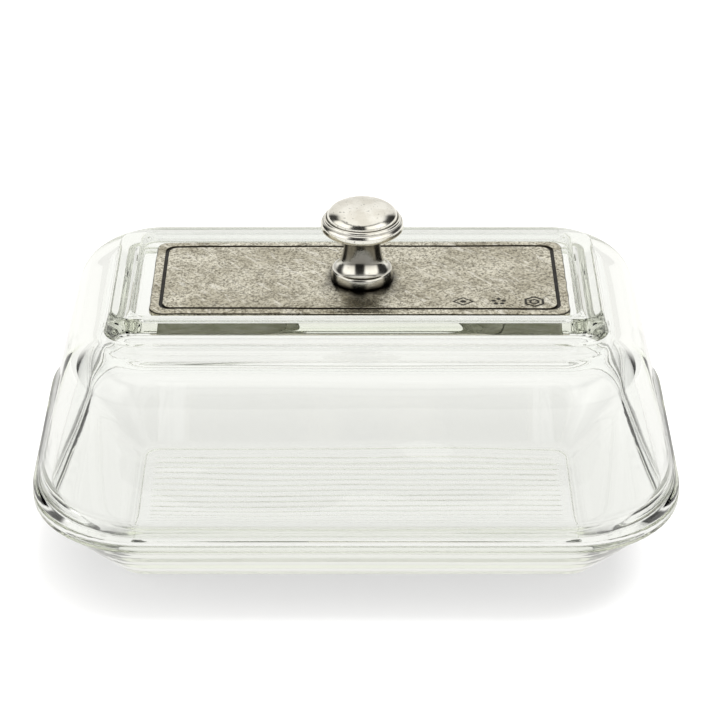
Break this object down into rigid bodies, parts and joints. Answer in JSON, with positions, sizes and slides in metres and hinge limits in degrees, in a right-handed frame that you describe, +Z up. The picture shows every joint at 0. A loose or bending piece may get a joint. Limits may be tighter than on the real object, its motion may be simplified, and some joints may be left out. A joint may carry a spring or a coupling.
{
  "type": "butter dish",
  "caption": "Oblong clear glass butter dish with a lift-off glass cover that carries a bonded metal plate and a turned metal knob.",
  "frame": {"origin": "middle of the flat foot, on the surface that the dish stands on", "axes": "+X along the length, +Y across the width, +Z up through the knob"},
  "size_m": [0.185, 0.121, 0.1019],
  "materials": {
    "clear_glass": "pressed clear glass, fire-polished, faint green at the edges",
    "adhesive": "cured olive grey bond, mottled",
    "pewter_plate": "cast pewter, hand finished, grainy, dark patina in the engraved line",
    "pewter_knob": "turned pewter, polished and worn",
    "steel": "plain zinc-plated screw"
  },
  "bodies": {
    "dish": {"base_dish": "clear_glass"},
    "cover": {"glass_cover": "clear_glass", "left_adhesive": "adhesive", "right_adhesive": "adhesive", "top_plate": "pewter_plate", "knob": "pewter_knob", "knob_screw": "steel"}
  },
  "joints": [
    {"name": "cover_lift", "type": "slide", "parent": "dish", "child": "cover", "axis": [0, 0, 1], "range_m": [0, 0.12]}
  ]
}
